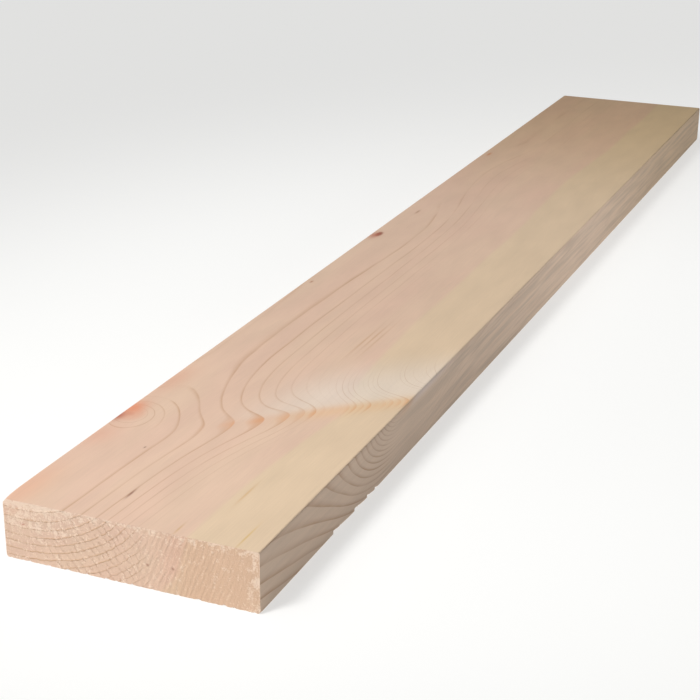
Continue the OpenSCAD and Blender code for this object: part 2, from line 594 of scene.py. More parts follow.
        gapped = add(tree, MATH, (gaps, fainter), operation="MULTIPLY")
        strength = add(tree, MATH, (strong, gapped), operation="MULTIPLY")
        later = add(tree, RANGE, (ring, *self.lined_years, 0.0, 1.0))
        round_knot = add(tree, RANGE, (stem.outputs["Knot"], 36.0, 24.0, 0.0, 0.8))
        lined = add(tree, MATH, (grazing, -1.0, later), operation="MULTIPLY_ADD")
        kept = add(tree, MATH, (lined, round_knot), operation="MAXIMUM")
        off_knot = add(tree, RANGE, (stem.outputs["Knot"], 8.0, 14.0, 0.1, 1.0))
        off_pin = add(tree, RANGE, (stem.outputs["Pin knot"], 12.0, 24.0, 0.0, 1.0))
        clear = add(tree, MATH, (off_knot, off_pin), operation="MULTIPLY")
        shown = add(tree, MATH, (kept, clear), operation="MULTIPLY")
        held = add(tree, MATH, (shown, strength), operation="MULTIPLY")
        return add(tree, MATH, (line, held), operation="MULTIPLY")


@dataclass(frozen=True)
class PlankFinish:
    """What a tool left on the pine: one material for the planed faces, one for the sawn ends.

    Sizes are in mm. A narrow face shows its rings and streaks by how far along the plank it is,
    and an end by how far across, because the saw left the left side scored and the right side
    smeared. Real fibres are finer than the fibre here, which is as coarse as it must be to show.
    """

    cut: Cut
    wood: bpy.types.NodeTree
    width: float
    length: float
    roughness: float
    ior: float = 1.53
    tooth_pitch: float = 5.0
    ridge_pitch: float = 3.8
    fibre: tuple[float, float, float] = (0.9, 40.0, 0.9)
    streak: tuple[float, float, float] = (6.0, 95.0, 3.2)
    narrow_lines: tuple[float, float] = (205.0, 245.0)
    narrow_broad: tuple[float, float] = (205.0, 260.0)
    narrow_streaks: tuple[float, float] = (190.0, 420.0)
    narrow_tone: tuple[float, float, float] = (1.0, 0.975, 1.05)
    scored: tuple[float, float] = (82.0, 124.0)
    smeared: tuple[float, float] = (105.0, 150.0)
    rag: float = 2.4
    rag_size: tuple[float, float, float] = (5.0, 30.0, 5.0)
    stray_size: tuple[float, float, float] = (13.0, 30.0, 13.0)
    tooth_slope: tuple[float, float] = (0.78, 0.62)
    tooth_stray: float = 9.0
    ridge_slope: tuple[float, float] = (0.93, -0.36)
    ridge_stray: float = 4.0
    # Painted shade: how far the saw ridges lighten and darken the colour.
    ridge_shade: float = 0.085
    groove: str = "#B08468"
    soaked: str = "#CE9A80"
    torn: str = "#F0D9C4"

    def build(self) -> bpy.types.Material:
        """Builds the material.

        Returns:
            The finished material.
        """
        material = bpy.data.materials.new(self.cut.value)
        material.use_nodes = True
        tree = material.node_tree
        tree.nodes.clear()
        here = add(tree, "ShaderNodeTexCoord").outputs["Object"]
        place = add(
            tree,
            "ShaderNodeMapping",
            {
                "Vector": here,
                "Location": (self.width / 2 / MM, self.length / 2 / MM, 0.0),
                "Scale": (1 / MM, 1 / MM, 1 / MM),
            },
        )
        wood = add(tree, "ShaderNodeGroup", node_tree=self.wood)
        tree.links.new(place.outputs[0], wood.inputs["Place"])
        dress = {Cut.PLANED: self._planed, Cut.SAWN: self._sawn}[self.cut]
        colour, roughness, normal = dress(tree, place, wood)
        shader = add(
            tree,
            "ShaderNodeBsdfPrincipled",
            {"Base Color": colour, "Roughness": roughness, "IOR": self.ior, "Normal": normal},
        )
        add(tree, "ShaderNodeOutputMaterial", (shader,))
        return material

    def _planed(self, tree: bpy.types.NodeTree, place, wood: bpy.types.Node) -> tuple:
        """Adds what planer knives leave: clean fibres, a faint silk, dense lines a touch proud.

        Args:
            tree: The material's tree.
            place: The place in mm.
            wood: The wood group's node.

        Returns:
            What feeds the shader's colour, roughness and normal.
        """
        facing = add(tree, "ShaderNodeNewGeometry").outputs["True Normal"]
        nx = add(tree, "ShaderNodeSeparateXYZ", (facing,)).outputs["X"]
        narrow = add(tree, MATH, (nx,), operation="ABSOLUTE")
        on_edge = add(tree, RANGE, (narrow, 0.5, 0.8, 0.0, 1.0))
        y = add(tree, "ShaderNodeSeparateXYZ", (place,)).outputs["Y"]
        smooth = {"interpolation_type": "SMOOTHSTEP"}
        shown = add(tree, RANGE, (y, *self.narrow_lines, 0.9, 0.4), **smooth)
        broad = add(tree, RANGE, (y, *self.narrow_broad, 1.0, 0.0), **smooth)
        banded = add(tree, MATH, (broad, on_edge), operation="MULTIPLY")
        lined = add(tree, MATH, (shown, on_edge), operation="MULTIPLY")
        least = add(tree, MATH, (lined, 0.1), operation="MAXIMUM")
        tree.links.new(least.outputs[0], wood.inputs["Least line"])
        tree.links.new(banded.outputs[0], wood.inputs["Wide line"])
        thin = tuple(1 / mm for mm in self.fibre)
        fine = add(tree, VECTOR_MATH, (place, thin), operation="MULTIPLY")
        fibre = add(tree, NOISE, {"Vector": fine, "Scale": 1.0, "Detail": 3.0})
        shade = add(tree, RANGE, (fibre, 0.25, 0.75, 0.965, 1.035))
        grained = add(
            tree, VECTOR_MATH, (wood.outputs["Colour"], shade.outputs[0]), operation="MULTIPLY"
        )
        shares = tuple(1 / mm for mm in self.streak)
        drawn = add(tree, VECTOR_MATH, (place, shares), operation="MULTIPLY")
        streaks = add(tree, NOISE, {"Vector": drawn, "Scale": 1.0, "Detail": 3.0})
        darker = add(tree, RANGE, (streaks, 0.36, 0.6, 0.84, 1.03))
        further = add(tree, RANGE, (y, *self.narrow_streaks, 0.25, 1.0))
        streaked = add(tree, MIX, {0: further, 2: 1.0, 3: darker})
        toned = add(tree, VECTOR_MATH, (grained, self.narrow_tone), operation="MULTIPLY")
        greyed = add(tree, VECTOR_MATH, (toned, streaked), operation="MULTIPLY")
        colour = add(tree, MIX, {0: on_edge, 6: grained, 7: greyed}, data_type="RGBA")
        spread = (self.roughness - 0.06, self.roughness + 0.06)
        roughness = add(tree, RANGE, (fibre, 0.2, 0.8, *spread))
        proud = add(tree, MATH, (wood.outputs["Latewood"], 0.8, fibre), operation="MULTIPLY_ADD")
        bump = add(
            tree, "ShaderNodeBump", {"Strength": 0.3, "Distance": 0.1 * MM, "Height": proud}
        )
        return colour, roughness, bump

    def _sawn(self, tree: bpy.types.NodeTree, place, wood: bpy.types.Node) -> tuple:
        """Adds what a saw leaves on end grain: slanting tooth marks, torn specks, darker pores.

        Args:
            tree: The material's tree.
            place: The place in mm.
            wood: The wood group's node.

        Returns:
            What feeds the shader's colour, roughness and normal.
        """
        smooth = {"interpolation_type": "SMOOTHSTEP"}
        x, _, z = add(tree, "ShaderNodeSeparateXYZ", (place,)).outputs
        left = add(tree, RANGE, (x, *self.scored, 1.0, 0.0), **smooth)
        least = add(tree, MATH, (left, 0.68, 0.2), operation="MULTIPLY_ADD")
        wide = add(tree, MATH, (left, 0.2, 0.2), operation="MULTIPLY_ADD")
        tree.links.new(least.outputs[0], wood.inputs["Least line"])
        tree.links.new(wide.outputs[0], wood.inputs["Wide line"])
        torn_off = tuple(1 / mm for mm in self.rag_size)
        close = add(tree, VECTOR_MATH, (place, torn_off), operation="MULTIPLY")
        shaken = add(tree, NOISE, {"Vector": close, "Scale": 1.0, "Detail": 2.0})
        centred = add(
            tree, VECTOR_MATH, (shaken.outputs["Color"], (0.5, 0.5, 0.5)), operation="SUBTRACT"
        )
        ragged = add(tree, VECTOR_MATH, (centred, (self.rag, 0.0, self.rag)), operation="MULTIPLY")
        ruffled = add(tree, VECTOR_MATH, (place, ragged), operation="ADD")
        tree.links.new(ruffled.outputs[0], wood.inputs["Place"])

        strayed_over = tuple(1 / mm for mm in self.stray_size)
        loose = add(tree, VECTOR_MATH, (place, strayed_over), operation="MULTIPLY")
        stray = add(tree, NOISE, {"Vector": loose, "Scale": 1.0, "Detail": 2.0})
        along, upward = self.tooth_slope
        fallen = add(tree, MATH, (z, upward), operation="MULTIPLY")
        across = add(tree, MATH, (x, along, fallen), operation="MULTIPLY_ADD")
        bent = add(tree, MATH, (stray, self.tooth_stray, across), operation="MULTIPLY_ADD")
        teeth = add(tree, MATH, (bent, 1 / self.tooth_pitch), operation="MULTIPLY")
        tooth = add(tree, MATH, (teeth,), operation="FRACT")
        lip = add(tree, RANGE, (tooth, 0.0, 0.36, 1.0, 0.0), **smooth)
        tail = add(tree, RANGE, (tooth, 0.84, 1.0, 0.0, 1.0), **smooth)
        groove = add(tree, MATH, (lip, tail), operation="MAXIMUM")
        patch = add(tree, RANGE, (shaken, 0.4, 0.6, 0.0, 1.0), **smooth)
        inner = add(tree, RANGE, (x, 10.0, 45.0, 0.3, 1.0), **smooth)
        middle = add(tree, MATH, (left, inner), operation="MULTIPLY")
        where = add(tree, MATH, (patch, middle), operation="MULTIPLY")
        marked = add(tree, MATH, (groove, where), operation="MULTIPLY")
        fine = add(tree, VECTOR_MATH, (place, (0.8, 0.3, 0.8)), operation="MULTIPLY")
        grit = add(tree, NOISE, {"Vector": fine, "Scale": 1.0, "Detail": 4.0, "Roughness": 0.65})
        along, upward = self.ridge_slope
        upright = add(tree, MATH, (z, upward), operation="MULTIPLY")
        over = add(tree, MATH, (x, along, upright), operation="MULTIPLY_ADD")
        strayed = add(tree, MATH, (stray, self.ridge_stray, over), operation="MULTIPLY_ADD")
        turns = add(tree, MATH, (strayed, 2 * math.pi / self.ridge_pitch), operation="MULTIPLY")
        swell = add(tree, MATH, (turns,), operation="SINE")
        right = add(tree, MATH, (1.0, left), operation="SUBTRACT")
        fading = add(tree, RANGE, (x, 150.0, 185.0, 1.0, 0.45), **smooth)
        ridged = add(tree, MATH, (right, fading), operation="MULTIPLY")
        broken = add(tree, MATH, (ridged, shaken), operation="MULTIPLY")
        ridges = add(tree, MATH, (swell, broken), operation="MULTIPLY")
        gritty = add(tree, RANGE, (grit, 0.25, 0.75, 0.94, 1.08))
        # Painted light and shade along the saw ridges, laid into the colour on top of their bump.
        shade = add(tree, MATH, (ridges, self.ridge_shade, gritty), operation="MULTIPLY_ADD")
        rough = add(
            tree, VECTOR_MATH, (wood.outputs["Colour"], shade.outputs[0]), operation="MULTIPLY"
        )
        soaked = add(tree, RANGE, (x, *self.smeared, 0.05, 0.42), **smooth)
        deeper = add(tree, MIX, {0: soaked, 6: rough, 7: linear(self.soaked)}, data_type="RGBA")
        dark = add(tree, MATH, (marked, 0.5), operation="MULTIPLY")
        scored = add(tree, MIX, {0: dark, 6: deeper, 7: linear(self.groove)}, data_type="RGBA")
        rim = add(tree, RANGE, (z, 38.0, 45.0, 0.0, 0.1))
        patched = add(tree, MATH, (shaken, grit), operation="ADD")
        rimmed = add(tree, MATH, (patched, 0.5, rim), operation="MULTIPLY_ADD")
        off_left = add(tree, RANGE, (x, 90.0, 20.0, 0.0, 1.0), **smooth)
        high = add(tree, RANGE, (z, 14.0, 32.0, 0.02, 0.1), **smooth)
        upper_left = add(tree, MATH, (off_left, high), operation="MULTIPLY")
        edge = add(tree, RANGE, (x, 184.0, 194.0, 0.0, 0.1), **smooth)
        frayed = add(tree, MATH, (upper_left, edge), operation="ADD")
        loose_fibre = add(tree, MATH, (rimmed, frayed), operation="ADD")
        torn = add(tree, RANGE, (loose_fibre, 0.53, 0.66, 0.0, 0.7), **smooth)
        colour = add(tree, MIX, {0: torn, 6: scored, 7: linear(self.torn)}, data_type="RGBA")
        ridge = add(tree, MATH, (wood.outputs["Latewood"], 0.8, grit), operation="MULTIPLY_ADD")
        step = add(tree, MATH, (tooth, left), operation="MULTIPLY")
        ramp = add(tree, MATH, (step, 0.4, ridge), operation="MULTIPLY_ADD")
        swollen = add(tree, MATH, (ridges, 0.26, ramp), operation="MULTIPLY_ADD")
        height = add(tree, MATH, (marked, -0.4, swollen), operation="MULTIPLY_ADD")
        bump = add(
            tree, "ShaderNodeBump", {"Strength": 0.8, "Distance": 0.8 * MM, "Height": height}
        )
        return colour, self.roughness, bump


@dataclass(frozen=True)
class StudioPaper:
    """Matt seamless paper over a light table: pale and even, with only a soft shadow on it."""

    colour: str = "#A2A2A0"
    lit: str = "#FAFAF9"
    roughness: float = 0.9
    glow: float = 0.64

    def build(self) -> bpy.types.Material:
        """Builds the paper's material."""
        material = bpy.data.materials.new("studio paper")
        material.use_nodes = True
        tree = material.node_tree
        tree.nodes.clear()
        here = add(tree, "ShaderNodeTexCoord").outputs["Object"]
        fleck = add(tree, NOISE, {"Vector": here, "Scale": 400.0, "Detail": 2.0})
        bump = add(
            tree, "ShaderNodeBump", {"Strength": 0.1, "Distance": 0.1 * MM, "Height": fleck}
        )
        shader = add(
            tree,
            "ShaderNodeBsdfPrincipled",
            {
                "Base Color": linear(self.colour),
                "Roughness": self.roughness,
                "Normal": bump,
                "Emission Color": linear(self.lit),
                "Emission Strength": self.glow,
            },
        )
        add(tree, "ShaderNodeOutputMaterial", (shader,))
        return material


@dataclass
class Plank:
    """The plank itself, in metres: a block lattice that a Geometry Nodes tree works to shape."""

    width: float
    length: float
    thickness: float
    arris: float = 1.3 * MM
    arris_wear: float = 0.18
    end_wear: float = 0.35
    end_reach: float = 6.0 * MM
    corner_wear: float = 2.6
    corner_reach: float = 7.0 * MM
    tear_count: int = 4
    tear_start: float = 119.0 * MM
    tear_length: float = 37.0 * MM
    tear_fade: float = 0.6
    tear_gap: float = 2.0 * MM
    tear_depth: float = 2.2 * MM
    saw_pitch: float = 3.2 * MM
    saw_depth: float = 0.25 * MM
    saw_slant: float = 35.0
    chip_depth: float = 1.8 * MM
    chip_reach: float = 3.5 * MM
    splinters: int = 46
    splinter_length: float = 2.2 * MM
    splinter_root: float = 0.28 * MM
    splinter_tip: float = 0.04 * MM
    seed: int = 7
    cell: float = 1.35 * MM
    body: str = "root"
    slot: str = "pine"
    piece: bpy.types.Object | None = field(default=None, init=False)

    def tears(self) -> list[tuple[float, float]]:
        """Where each torn step starts along the plank from its near end, and how long it runs.

        Returns:
            (start, run) of each step, in metres.
        """
        steps, start, run = [], self.tear_start, self.tear_length
        for _ in range(self.tear_count):
            steps.append((start, run))
            start += run + self.tear_gap
            run *= self.tear_fade
        return steps

    def _across(self, low: float, high: float) -> np.ndarray:
        """Spaces the lattice across one side: close in the two arrises, even between them.

        Args:
            low: The side's start.
            high: Its end.

        Returns:
            The places in order.
        """
        near = low + self.arris * np.linspace(0, 1, 6)[:-1]
        count = round((high - low - 2 * self.arris) / self.cell)
        middle = np.linspace(low + self.arris, high - self.arris, count + 1)
        far = high - self.arris * np.linspace(0, 1, 6)[:-1][::-1]
        return np.concatenate([near, middle, far])

    def _along(self) -> np.ndarray:
        """Spaces the lattice along the grain: close at the two ends and through the torn steps.

        Returns:
            The places in order.
        """
        tip = np.array([0, 0.4, 0.9, 1.5, 2.3, 3.3, 4.6, 6.2, 8.0]) * MM
        steps = self.tears()
        torn_from = steps[0][0] - 4 * MM
        torn_to = sum(steps[-1]) + 2 * MM
        torn = np.arange(torn_from, torn_to, 1.7 * MM)
        starts = np.array([s for s, _ in steps])
        torn = torn[np.min(np.abs(torn[:, None] - starts), axis=1) > 0.5 * MM]
        edges = np.concatenate([starts - 0.15 * MM, starts + 0.15 * MM])
        plain = np.linspace(tip[-1], torn_from, 12)
        rest = np.linspace(torn_to, self.length - tip[-1], 118)
        near = np.concatenate([tip, plain, torn, edges, rest, self.length - tip])
        return np.unique(np.round(near, 6)) - self.length / 2

    def _lattice(self) -> bpy.types.Mesh:
        """Builds the square-edged block as one closed mesh with its end rims marked sharp.

        Returns:
            The block's mesh.
        """
        xs = self._across(-self.width / 2, self.width / 2)
        ys = self._along()
        zs = self._across(0.0, self.thickness)
        points, quads = [], []
        sides = (
            (0, xs[0], ys, zs, True),
            (0, xs[-1], ys, zs, False),
            (1, ys[0], xs, zs, False),
            (1, ys[-1], xs, zs, True),
            (2, zs[0], xs, ys, True),
            (2, zs[-1], xs, ys, False),
        )
        base = 0
        for axis, level, firsts, seconds, flip in sides:
            a, b = np.meshgrid(firsts, seconds, indexing="ij")
            columns = [a.ravel(), b.ravel()]
            columns.insert(axis, np.full(a.size, level))
            points.append(np.stack(columns, axis=1))
            index = np.arange(a.size).reshape(a.shape) + base
            base += a.size
            quad = np.stack([index[:-1, :-1], index[1:, :-1], index[1:, 1:], index[:-1, 1:]], axis=-1)
            quads.append(quad.reshape(-1, 4)[:, ::-1] if flip else quad.reshape(-1, 4))
        every = np.round(np.concatenate(points), 6)
        kept, where = np.unique(every, axis=0, return_inverse=True)
        faces = where.reshape(-1)[np.concatenate(quads)]
        mesh = bpy.data.meshes.new("block")
        mesh.from_pydata(kept.tolist(), [], faces.tolist())
        mesh.polygons.foreach_set("use_smooth", np.ones(len(faces), bool))
        ends = np.zeros(len(mesh.edges) * 2, np.int32)
        mesh.edges.foreach_get("vertices", ends)
        pair = kept[ends.reshape(-1, 2)]
        at_end = np.abs(np.abs(pair[..., 1]) - self.length / 2) < 1e-6
        wide_rim = np.abs(np.abs(pair[..., 0]) - self.width / 2) < 1e-6
        thick_rim = np.abs(np.abs(pair[..., 2] - self.thickness / 2) - self.thickness / 2) < 1e-6
        rim = at_end.all(axis=1) & (wide_rim.all(axis=1) | thick_rim.all(axis=1))
        mesh.attributes.new("sharp_edge", "BOOLEAN", "EDGE").data.foreach_set("value", rim)
        return mesh

    def _inputs(self, planed: bpy.types.Material, sawn: bpy.types.Material) -> dict:
        """Names the tree's inputs, with the value that the modifier gives each.

        Args:
            planed: The finish of the four long faces.
            sawn: The finish of the ends.

        Returns:
            {name: (socket type, value)}.
        """
        number, count, paint = "NodeSocketFloat", "NodeSocketInt", "NodeSocketMaterial"
        return {
            "Width": (number, self.width),
            "Length": (number, self.length),
            "Thickness": (number, self.thickness),
            "Arris": (number, self.arris),
            "Arris wear": (number, self.arris_wear),
            "End wear": (number, self.end_wear),
            "Corner wear": (number, self.corner_wear),
            "Tear start": (number, self.tear_start),
            "Tear length": (number, self.tear_length),
            "Tear fade": (number, self.tear_fade),
            "Tear gap": (number, self.tear_gap),
            "Tear depth": (number, self.tear_depth),
            "Saw pitch": (number, self.saw_pitch),
            "Saw depth": (number, self.saw_depth),
            "Chip depth": (number, self.chip_depth),
            "Splinters": (count, self.splinters),
            "Seed": (count, self.seed),
            "Planed finish": (paint, planed),
            "Sawn finish": (paint, sawn),
        }

    def _tree(self, inputs: dict) -> bpy.types.NodeTree:
        """Builds the tree that works the block into the plank.

        Args:
            inputs: What _inputs returned.

        Returns:
            The Geometry Nodes tree.
        """
        tree = bpy.data.node_groups.new("worked plank", "GeometryNodeTree")
        tree.is_modifier = True
        geometry = "NodeSocketGeometry"
        tree.interface.new_socket("Block", in_out="INPUT", socket_type=geometry)
        for name, (kind, _) in inputs.items():
            tree.interface.new_socket(name, in_out="INPUT", socket_type=kind)
        tree.interface.new_socket("Plank", in_out="OUTPUT", socket_type=geometry)
        given = add(tree, "NodeGroupInput").outputs
        place = add(tree, "GeometryNodeInputPosition").outputs[0]
        x, y, z = add(tree, "ShaderNodeSeparateXYZ", (place,)).outputs
        half = add(tree, MATH, (given["Length"], 0.5), operation="MULTIPLY")
        from_near = add(tree, MATH, (y, half), operation="ADD")
        from_far = add(tree, MATH, (half, y), operation="SUBTRACT")
        from_end = add(tree, MATH, (from_near, from_far), operation="MINIMUM")

        radius = self._radius(tree, given, place, from_end)
        eased_x, eased_z = self._eased(tree, given, x, z, radius)
        torn_x, torn_z = self._torn(tree, given, place, eased_x, eased_z, from_near)
        cut_y, chipped_z = self._sawn(tree, given, (torn_x, y, torn_z), from_end)
        moved = add(tree, "ShaderNodeCombineXYZ", (torn_x, cut_y, chipped_z))
        worked = add(
            tree, "GeometryNodeSetPosition", {"Geometry": given["Block"], "Position": moved}
        )
        slivers = self._splinters(tree, given)
        joined = add(tree, "GeometryNodeJoinGeometry")
        tree.links.new(slivers.outputs[0], joined.inputs[0])
        tree.links.new(worked.outputs[0], joined.inputs[0])
        whole = add(tree, "GeometryNodeRealizeInstances", (joined,))
        kept = self._kept_in(tree, given, whole)
        sawn = self._is_sawn(tree, given)
        planed = add(
            tree, "GeometryNodeSetMaterial", {"Geometry": kept, "Material": given["Planed finish"]}
        )
        done = add(
            tree,
            "GeometryNodeSetMaterial",
            {"Geometry": planed, "Selection": sawn, "Material": given["Sawn finish"]},
        )
        add(tree, "NodeGroupOutput", (done,))
        return tree

    def _radius(self, tree: bpy.types.NodeTree, given, place, from_end) -> bpy.types.Node:
        """Adds the arris's radius: handling wears it unevenly, most at the ends and one corner.

        Args:
            tree: The plank's tree.
            given: The group's inputs.
            place: The position.
            from_end: The distance from the nearer end.

        Returns:
            The node that gives the radius.
        """
        size = add(
            tree, "ShaderNodeCombineXYZ", (given["Width"], given["Length"], given["Thickness"])
        )
        rub = add(
            tree,
            NOISE,
            {"Vector": place, "W": given["Seed"], "Scale": 28.0, "Detail": 2.0},
            noise_dimensions="4D",
        )
        about = add(tree, MATH, (rub, 2.0, -1.0), operation="MULTIPLY_ADD")
        uneven = add(tree, MATH, (about, given["Arris wear"], 1.0), operation="MULTIPLY_ADD")
        near = add(tree, MATH, (from_end, -1 / self.end_reach), operation="MULTIPLY")
        close = add(tree, MATH, (near,), operation="EXPONENT")
        share = add(tree, MATH, (close, given["End wear"], uneven), operation="MULTIPLY_ADD")
        low = add(tree, VECTOR_MATH, (size, (-0.5, -0.5, 1.0)), operation="MULTIPLY")
        apart = add(tree, VECTOR_MATH, (place, low), operation="DISTANCE").outputs["Value"]
        off = add(tree, MATH, (apart, -1 / self.corner_reach), operation="MULTIPLY")
        bell = add(tree, MATH, (off,), operation="EXPONENT")
        knocked = add(tree, MATH, (bell, given["Corner wear"], share), operation="MULTIPLY_ADD")
        return add(tree, MATH, (knocked, given["Arris"]), operation="MULTIPLY")

    def _eased(self, tree: bpy.types.NodeTree, given, x, z, radius) -> tuple:
        """Adds the easing: what stands outside the quarter round is drawn back onto it.

        Args:
            tree: The plank's tree.
            given: The group's inputs.
            x: Across the plank.
            z: Up through it.
            radius: The arris's radius.

        Returns:
            The nodes that give the new x and z.
        """
        half = add(tree, MATH, (given["Width"], 0.5), operation="MULTIPLY")
        reach_x = add(tree, MATH, (half, radius), operation="SUBTRACT")
        back_x = add(tree, MATH, (reach_x, -1.0), operation="MULTIPLY")
        top_z = add(tree, MATH, (given["Thickness"], radius), operation="SUBTRACT")
        low_x = add(tree, MATH, (x, reach_x), operation="MINIMUM")
        core_x = add(tree, MATH, (low_x, back_x), operation="MAXIMUM")
        low_z = add(tree, MATH, (z, top_z), operation="MINIMUM")
        core_z = add(tree, MATH, (low_z, radius), operation="MAXIMUM")
        out_x = add(tree, MATH, (x, core_x), operation="SUBTRACT")
        out_z = add(tree, MATH, (z, core_z), operation="SUBTRACT")
        size_x = add(tree, MATH, (out_x,), operation="ABSOLUTE")
        size_z = add(tree, MATH, (out_z,), operation="ABSOLUTE")
        square = add(tree, MATH, (size_x, size_z), operation="MAXIMUM")
        out = add(tree, "ShaderNodeCombineXYZ", (out_x, 0.0, out_z))
        length = add(tree, VECTOR_MATH, (out,), operation="LENGTH").outputs["Value"]
        share = add(tree, MATH, (square, length), operation="DIVIDE")
        new_x = add(tree, MATH, (out_x, share, core_x), operation="MULTIPLY_ADD")
        new_z = add(tree, MATH, (out_z, share, core_z), operation="MULTIPLY_ADD")
        return new_x, new_z

    def _torn(self, tree: bpy.types.NodeTree, given, place, x, z, from_near) -> tuple:
        """Adds the torn steps in the lower right arris: sudden at the near side, then fading out.

        Args:
            tree: The plank's tree.
            given: The group's inputs.
            place: The position.
            x: Across the plank, eased.
            z: Up through it, eased.
            from_near: The distance from the near end.

        Returns:
            The nodes that give the new x and z.
        """
        depth = None
        start, run = given["Tear start"], given["Tear length"]
        for _ in range(self.tear_count):
            past = add(tree, MATH, (from_near, start), operation="SUBTRACT")
            begun = add(tree, MATH, (past, 0.0), operation="GREATER_THAN")
            gone = add(tree, MATH, (past, run), operation="DIVIDE", use_clamp=True)
            left = add(tree, MATH, (1.0, gone), operation="SUBTRACT")
            arc = add(tree, MATH, (left, 1.4), operation="POWER")
            step = add(tree, MATH, (arc, begun), operation="MULTIPLY")
            depth = step if depth is None else add(tree, MATH, (depth, step), operation="MAXIMUM")
            end = add(tree, MATH, (start, run), operation="ADD")
            start = add(tree, MATH, (end, given["Tear gap"]), operation="ADD")
            run = add(tree, MATH, (run, given["Tear fade"]), operation="MULTIPLY")
        rip = add(
            tree,
            NOISE,
            {"Vector": place, "W": given["Seed"], "Scale": 420.0, "Detail": 2.0},
            noise_dimensions="4D",
        )
        ragged = add(tree, RANGE, (rip, 0.3, 0.7, 0.6, 1.15))
        rough = add(tree, MATH, (depth, ragged.outputs[0]), operation="MULTIPLY")
        deep = add(tree, MATH, (rough, given["Tear depth"]), operation="MULTIPLY")
        half = add(tree, MATH, (given["Width"], 0.5), operation="MULTIPLY")
        centre = add(tree, MATH, (half, given["Arris"]), operation="SUBTRACT")
        out_x = add(tree, MATH, (x, centre), operation="SUBTRACT")
        out_z = add(tree, MATH, (given["Arris"], z), operation="SUBTRACT")
        both = add(tree, MATH, (out_x, out_z), operation="ADD")
        slant = add(tree, MATH, (both, math.sqrt(0.5)), operation="MULTIPLY")
        plane = add(tree, MATH, (given["Arris"], deep), operation="SUBTRACT")
        over = add(tree, MATH, (slant, plane), operation="SUBTRACT")
        push = add(tree, MATH, (over, 0.0), operation="MAXIMUM")
        torn = add(tree, MATH, (deep, 0.0), operation="GREATER_THAN")
        taken = add(tree, MATH, (push, torn), operation="MULTIPLY")
        new_x = add(tree, MATH, (taken, -math.sqrt(0.5), x), operation="MULTIPLY_ADD")
        new_z = add(tree, MATH, (taken, math.sqrt(0.5), z), operation="MULTIPLY_ADD")
        return new_x, new_z

    def _sawn(self, tree: bpy.types.NodeTree, given, place: tuple, from_end) -> tuple:
        """Adds the saw's work at the ends: slanting grooves in them, and chips off their rims.

        Args:
            tree: The plank's tree.
            given: The group's inputs.
            place: The nodes that give x, y and z so far.
            from_end: The distance from the nearer end.

        Returns:
            The nodes that give the new y and z.
        """
        x, y, z = place
        at_end = add(tree, MATH, (from_end, 0.01 * MM), operation="LESS_THAN")
        turn = math.radians(self.saw_slant)
        slide = add(tree, MATH, (z, math.sin(turn)), operation="MULTIPLY")
        across = add(tree, MATH, (x, math.cos(turn), slide), operation="MULTIPLY_ADD")
        flat = add(tree, "ShaderNodeCombineXYZ", (x, y, z))
        stray = add(
            tree,
            NOISE,
            {"Vector": flat, "W": given["Seed"], "Scale": 120.0, "Detail": 1.0},
            noise_dimensions="4D",
        )
        teeth = add(tree, MATH, (across, given["Saw pitch"]), operation="DIVIDE")
        phase = add(tree, MATH, (stray, 1.2, teeth), operation="MULTIPLY_ADD")
        angle = add(tree, MATH, (phase, 2 * math.pi), operation="MULTIPLY")
        groove = add(tree, MATH, (angle,), operation="SINE")
        share = add(tree, MATH, (groove, 0.3, 0.3), operation="MULTIPLY_ADD")
        pitted = add(tree, MATH, (stray, 0.4, share), operation="MULTIPLY_ADD")
        deep = add(tree, MATH, (pitted, given["Saw depth"]), operation="MULTIPLY")
        inward = add(tree, MATH, (deep, at_end), operation="MULTIPLY")
        side = add(tree, MATH, (y,), operation="SIGN")
        shift = add(tree, MATH, (inward, side), operation="MULTIPLY")
        new_y = add(tree, MATH, (y, shift), operation="SUBTRACT")

        nick = add(
            tree,
            NOISE,
            {"Vector": flat, "W": given["Seed"], "Scale": 260.0, "Detail": 4.0},
            noise_dimensions="4D",
        )
        smooth = {"interpolation_type": "SMOOTHSTEP"}
        gap = add(tree, RANGE, (nick, 0.5, 0.68, 0.0, 1.0))
        near = add(tree, RANGE, (from_end, 0.0, self.chip_reach, 1.0, 0.0), **smooth)
        low = add(tree, RANGE, (z, 0.2 * MM, self.chip_reach, 1.0, 0.0), **smooth)
        where = add(tree, MATH, (near, low), operation="MULTIPLY")
        chip = add(tree, MATH, (gap.outputs[0], where), operation="MULTIPLY")
        new_z = add(tree, MATH, (chip, given["Chip depth"], z), operation="MULTIPLY_ADD")
        return new_y, new_z

